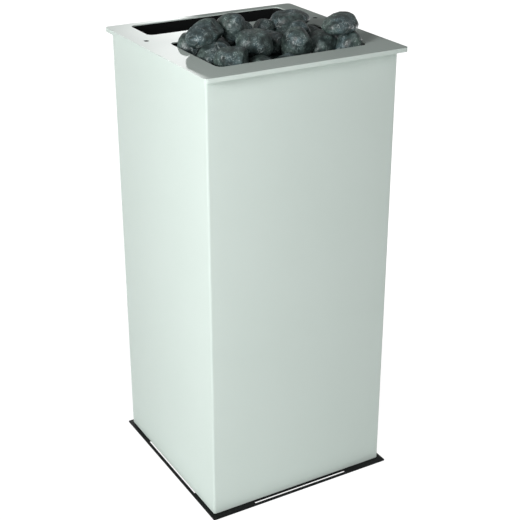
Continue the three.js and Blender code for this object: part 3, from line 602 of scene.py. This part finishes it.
def stone_room(node):
    """The box of a stone's node, spread sideways and down to make up for chips and wear.

    It stays clear of the bin's walls and above the grate, and its top stays where it is.
    """
    low, high = (np.array(corner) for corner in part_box(node))
    grate_low, grate_high = (np.array(corner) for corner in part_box("stone_grate"))
    wall = np.array([STONE_CLEARANCE, STONE_CLEARANCE, 0])
    least = np.array([*(grate_low + wall)[:2], grate_high[2]])
    spread = np.array([STONE_SWELL, STONE_SWELL, 0])
    settle = np.array([0, 0, STONE_SETTLE])
    return (np.minimum(low, np.maximum(low - spread - settle, least)),
            np.maximum(high, np.minimum(high + spread, grate_high - wall)))


def make_stones():
    """Each stone is fitted to the room of its own node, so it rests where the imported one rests."""
    way = directions(STONE_RINGS, STONE_SIDES)
    for index, (*_, turn, tilt) in enumerate(STONES):
        node = f"stone_{index + 1:02d}"
        points = tilted_and_turned(stone_points(index, way), turn, tilt)
        low, high = points.min(axis=(0, 1)), points.max(axis=(0, 1))
        room_low, room_high = stone_room(node)
        share = (points - low) / (high - low)
        mesh = surface(node, room_low + share * (room_high - room_low))
        # Smooth all over: a stone keeps no sharp edge
        mesh.shade_smooth()
        middle = (room_low + room_high) / 2
        grain = places_of(mesh) - middle + index * GRAIN_STEP
        mesh.attributes.new("grain", "FLOAT_VECTOR", "POINT").data.foreach_set("vector", grain.ravel())
        piece(f"tumbled_{node}", mesh, "stones", "stone", node)


def softened(node, radius):
    """Copy of a packed shell: corners merged, flat faces joined and every edge rounded to a radius."""
    mesh = frame["nodes"][node].data.copy()
    work = bmesh.new()
    work.from_mesh(mesh)
    bmesh.ops.remove_doubles(work, verts=work.verts, dist=NODE_WELD)
    bmesh.ops.dissolve_limit(work, angle_limit=FLAT_ANGLE, verts=work.verts, edges=work.edges)
    work.to_mesh(mesh)
    work.free()
    mesh.shade_smooth()
    mesh.set_sharp_from_angle(angle=SHARP_ANGLE)
    shell = piece(f"{node}_shell", mesh, NODE_BODY[node], NODE_SLOT[node], node)
    bevel = shell.modifiers.new("rounded_edges", "BEVEL")
    bevel.width = radius
    bevel.segments = EDGE_SEGMENTS
    bevel.limit_method = "ANGLE"
    bevel.angle_limit = EDGE_ANGLE
    bevel.harden_normals = True
    return shell


def narrow_slots(mesh):
    """Draws the base plate's slots narrower.

    The distance of a slot's wall from the plate's edge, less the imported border, is a share of the
    packed width. The wall moves to the drawn border plus that share of the drawn width.
    """
    places = places_of(mesh)
    low, high = places.min(axis=0), places.max(axis=0)
    (packed, packed_width), (drawn, drawn_width) = np.array([PACKED_SLOT, DRAWN_SLOT]) * MM
    for axis in (0, 1):
        for edge, inward in ((low[axis], 1), (high[axis], -1)):
            away = (places[:, axis] - edge) * inward
            share = (away - packed) / packed_width
            slot = np.abs(share - 0.5) < 0.5 + SLOT_MARGIN * MM / packed_width
            places[slot, axis] = edge + inward * (drawn + share[slot] * drawn_width)
    mesh.vertices.foreach_set("co", places.ravel())
    mesh.update()


def make_shells():
    """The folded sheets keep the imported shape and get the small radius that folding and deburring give."""
    for node, radius in EDGE_RADIUS.items():
        shell = softened(node, radius * MM)
        if node == "base_plate":
            narrow_slots(shell.data)


def hexagon(angle):
    """Six flats: the flats' distance over the cosine of the angle to the nearest one, 1 at a corner."""
    flat = math.pi / 6
    return math.cos(flat) / np.cos(angle % (2 * flat) - flat)


def cross(angle):
    """Four arms: half an arm over the distance from the nearest arm's middle line, 1 at an arm's end."""
    off = np.minimum(abs(np.sin(angle)), abs(np.cos(angle)))
    return CROSS_ARM / np.maximum(off, CROSS_ARM)


def ribbed(angle):
    """Soft ribs: a cosine wave round the form, 1 at the top of a rib."""
    return 1 - RIB_DEPTH + RIB_DEPTH * np.cos(RIBS * angle)


OUTLINES = {"round": np.ones_like, "hexagon": hexagon, "cross": cross, "ribbed": ribbed}


def turned(rows, place, along="up", sides=TURNED_SIDES):
    """Grid of a form turned round an axis through a place, pointing up or to the back.

    Each row is a distance along the axis, a reach from it and the outline that the reach follows.
    """
    angle = np.linspace(0, 2 * math.pi, sides, endpoint=False)
    reach = np.stack([radius * OUTLINES[outline](angle) for _, radius, outline in rows])
    height = np.array([[distance] for distance, *_ in rows]) * np.ones(sides)
    x, y = reach * np.cos(angle), reach * np.sin(angle)
    grid = (x, y, height) if along == "up" else (x, height, -y)
    return np.array(place) + np.stack(grid, axis=-1) * MM


def swept(path, reach):
    """Grid of a tube round a path in an upright plane: rings of the given reaches, square to the path."""
    run = np.gradient(path, axis=0)
    run /= np.linalg.norm(run, axis=1, keepdims=True)
    across = np.array([0, 1, 0])
    side = np.cross(run, across)
    angle = np.linspace(0, 2 * math.pi, TUBE_SIDES, endpoint=False)[:, None]
    ring = np.cos(angle) * side[:, None, :] + np.sin(angle) * across
    return path[:, None, :] + reach[:, None, None] * ring


def make_elements():
    """Each heating tube goes up, over, down, under, up, over and down; its ends have a collar and a pin.

    The four legs stand one and three half spacings from the middle, and the bends are half circles.
    The tube's first and last points have no reach, so they close its ends.
    """
    plate_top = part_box("element_plate")[1][2]
    bend = ELEMENT_SPACING * MM / 2
    over = np.linspace(math.pi, 0, BEND_POINTS)
    for word in ("front", "middle", "rear"):
        node = f"heating_element_{word}"
        low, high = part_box(node)
        y = (low[1] + high[1]) / 2
        foot = low[2] + ELEMENT_PIN * MM
        crown = high[2] - ELEMENT_REACH * MM - bend
        dip = plate_top + ELEMENT_DIP * MM + bend
        x = np.concatenate([[-3 * bend] * 2, bend * (np.cos(over) - 2), bend * np.cos(over),
                            bend * (np.cos(over) + 2), [3 * bend] * 2])
        z = np.concatenate([[foot] * 2, crown + bend * np.sin(over), dip - bend * np.sin(over),
                            crown + bend * np.sin(over), [foot] * 2])
        z[[1, -2]] += ELEMENT_CAP * MM
        reach = np.full(len(x), ELEMENT_REACH * MM)
        reach[[0, -1]] = 0
        grids = [swept(np.stack([x, np.full(len(x), y), z], axis=1), reach)]
        for end in (-3 * bend, 3 * bend):
            grids.append(turned(ELEMENT_COLLAR, (end, y, plate_top)))
            grids.append(turned(ELEMENT_TERMINAL, (end, y, low[2]), sides=PIN_SIDES))
        piece(f"bent_{node}", surface(node, *grids), "tower", "element_steel", node)


def make_plate_screws():
    """Two countersunk socket screws, flush with the top plate."""
    for word in ("left", "right"):
        node = f"top_plate_screw_{word}"
        low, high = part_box(node)
        place = ((low[0] + high[0]) / 2, (low[1] + high[1]) / 2, high[2])
        mesh = surface(node, turned(PLATE_SCREW, place))
        piece(f"socket_screw_{word}", mesh, "plate", "black_screw", node)


def make_rear_screws():
    """Pan-head screws down both flanges of the casing, which hold the rear panel."""
    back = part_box("casing")[1][1]
    grids = [turned(PAN_SCREW, (x * MM, back, z * MM), "back") for x in REAR_SCREW_X for z in REAR_SCREW_Z]
    piece("rear_panel_screws", surface("rear_panel_screws", *grids), "tower", "stainless")


def make_cover_screws():
    """Pan-head screws in the corners of the connection cover."""
    low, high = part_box("connection_cover")
    inset = COVER_SCREW_INSET * MM
    grids = [turned(PAN_SCREW, (x, high[1], z), "back")
             for x in (low[0] + inset, high[0] - inset) for z in (low[2] + inset, high[2] - inset)]
    piece("cover_screws", surface("cover_screws", *grids), "cover", "stainless")


def make_terminal_screws():
    """One clamping screw in each pocket of the terminal block, above and below."""
    low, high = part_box("terminal_block")
    poles = np.linspace(low[0], high[0], 2 * TERMINAL_POLES + 1)[1::2]
    floor = high[1] - POCKET_DEPTH * MM
    half = POCKET_HEIGHT * MM / 2
    grids = [turned(TERMINAL_SCREW, (x, floor, z), "back")
             for x in poles for z in (low[2] + half, high[2] - half)]
    piece("terminal_screws", surface("terminal_screws", *grids), "tower", "brass")


def make_gland():
    """Cable gland: thread, hexagon, ribbed cap and an open mouth."""
    low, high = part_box("cable_gland")
    place = ((low[0] + high[0]) / 2, low[1] + GLAND_THREAD * MM, (low[2] + high[2]) / 2)
    mesh = surface("cable_gland", turned(GLAND, place, "back", GLAND_SIDES))
    piece("ribbed_gland", mesh, "cover", "nylon", "cable_gland")


def hang(name, data, place, target):
    """Puts a lamp at a place and turns it so that its -Z axis points at a target."""
    thing = bpy.data.objects.new(name, data)
    thing.location = place
    way = np.array(target) - np.array(thing.location)
    thing.rotation_euler = (math.atan2(math.hypot(way[0], way[1]), -way[2]), 0,
                            math.atan2(way[1], way[0]) - math.pi / 2)
    bpy.context.scene.collection.objects.link(thing)
    return thing


def make_soft_boxes():
    """Rectangular lamps at the left, in front, at the right and behind."""
    for name, (place, target, size, watts) in SOFT_BOXES.items():
        data = bpy.data.lights.new(name, "AREA")
        data.shape = "RECTANGLE"
        data.size, data.size_y = size
        data.energy = watts
        hang(name, data, place, target)


def make_rake():
    """Round spot that lights the top plate and its screws alone; the stones only cast their shadow in it."""
    data = bpy.data.lights.new("rake_behind", "SPOT")
    data.energy = RAKE_WATTS
    data.spot_size = RAKE_CONE
    data.spot_blend = RAKE_BLEND
    data.shadow_soft_size = RAKE_RADIUS
    rake = hang("rake_behind", data, RAKE_PLACE, RAKE_TARGET)
    raked = bpy.data.collections.new("raked")
    for name in RAKED:
        raked.objects.link(bpy.data.objects[name])
    rake.light_linking.receiver_collection = raked


def seen_white(tree):
    """Share of white that a ray sees: all of it from the camera or through glass, some in a reflection."""
    ray = add(tree, "ShaderNodeLightPath").outputs
    direct = add(tree, "ShaderNodeMath", {0: ray["Is Camera Ray"], 1: ray["Is Transmission Ray"]},
                 operation="MAXIMUM")
    mirrored = add(tree, "ShaderNodeMath", {0: ray["Is Glossy Ray"], 1: MIRRORED_WHITE},
                   operation="MULTIPLY")
    return add(tree, "ShaderNodeMath", {0: direct.outputs[0], 1: mirrored.outputs[0]},
               operation="MAXIMUM").outputs[0]


def make_world():
    """A world that looks white and lights little."""
    world = bpy.data.worlds.new("studio")
    bpy.context.scene.world = world
    world.use_nodes = True
    tree = world.node_tree
    tree.nodes.clear()
    fill = add(tree, "ShaderNodeBackground", {"Color": linear(WHITE), "Strength": WORLD_FILL})
    white = add(tree, "ShaderNodeBackground", {"Color": linear(WHITE), "Strength": 1.0})
    mix = add(tree, "ShaderNodeMixShader", {0: seen_white(tree), 1: fill.outputs[0], 2: white.outputs[0]})
    add(tree, "ShaderNodeOutputWorld", {"Surface": mix.outputs[0]})


def studio_paper():
    """Matt paper that looks white: near the heater it is partly lit, and so takes its shadow."""
    material = bpy.data.materials.new("studio_paper")
    material.use_nodes = True
    tree = material.node_tree
    tree.nodes.clear()
    place = add(tree, "ShaderNodeTexCoord").outputs["Object"]
    away = add(tree, "ShaderNodeVectorMath", {0: place}, operation="LENGTH").outputs["Value"]
    plain = add(tree, "ShaderNodeMapRange", {"Value": away, "From Min": FLOOR_NEAR, "From Max": FLOOR_FAR,
                                             "To Min": FLOOR_NEAR_SHARE})
    share = add(tree, "ShaderNodeMath", {0: seen_white(tree), 1: plain.outputs[0]}, operation="MULTIPLY")
    paper = add(tree, "ShaderNodeBsdfDiffuse", {"Color": linear(PAPER)})
    white = add(tree, "ShaderNodeEmission", {"Color": linear(WHITE), "Strength": FLOOR_WHITE})
    mix = add(tree, "ShaderNodeMixShader", {0: share.outputs[0], 1: paper.outputs[0], 2: white.outputs[0]})
    add(tree, "ShaderNodeOutputMaterial", {"Surface": mix.outputs[0]})
    return material


def make_floor():
    """A square sheet of studio paper round the heater."""
    corners = np.array([[-1, -1, 0], [1, -1, 0], [1, 1, 0], [-1, 1, 0]]) * FLOOR_REACH
    corners[:, 2] = FLOOR_LEVEL
    mesh = bpy.data.meshes.new("studio_floor")
    mesh.from_pydata(corners.tolist(), [], [(0, 1, 2, 3)])
    mesh.materials.append(studio_paper())
    floor = bpy.data.objects.new("studio_floor", mesh)
    bpy.context.scene.collection.objects.link(floor)


def make_camera():
    """Camera on a sphere round the aim point, looking at it level."""
    data = bpy.data.cameras.new("camera")
    data.lens = LENS_MM
    data.sensor_width = SENSOR_MM
    camera = bpy.data.objects.new("camera", data)
    flat = VIEW_DISTANCE * math.cos(VIEW_ELEVATION)
    camera.location = (VIEW_AIM[0] + flat * math.sin(VIEW_AZIMUTH),
                       VIEW_AIM[1] - flat * math.cos(VIEW_AZIMUTH),
                       VIEW_AIM[2] + VIEW_DISTANCE * math.sin(VIEW_ELEVATION))
    camera.rotation_euler = (math.pi / 2 - VIEW_ELEVATION, 0, VIEW_AZIMUTH)
    bpy.context.scene.collection.objects.link(camera)
    bpy.context.scene.camera = camera


bpy.context.scene.view_settings.view_transform = "Standard"
make_camera()
make_world()
make_floor()
make_soft_boxes()
dress_nodes()
make_shells()
make_elements()
make_plate_screws()
make_rear_screws()
make_cover_screws()
make_terminal_screws()
make_gland()
make_stones()
make_rake()
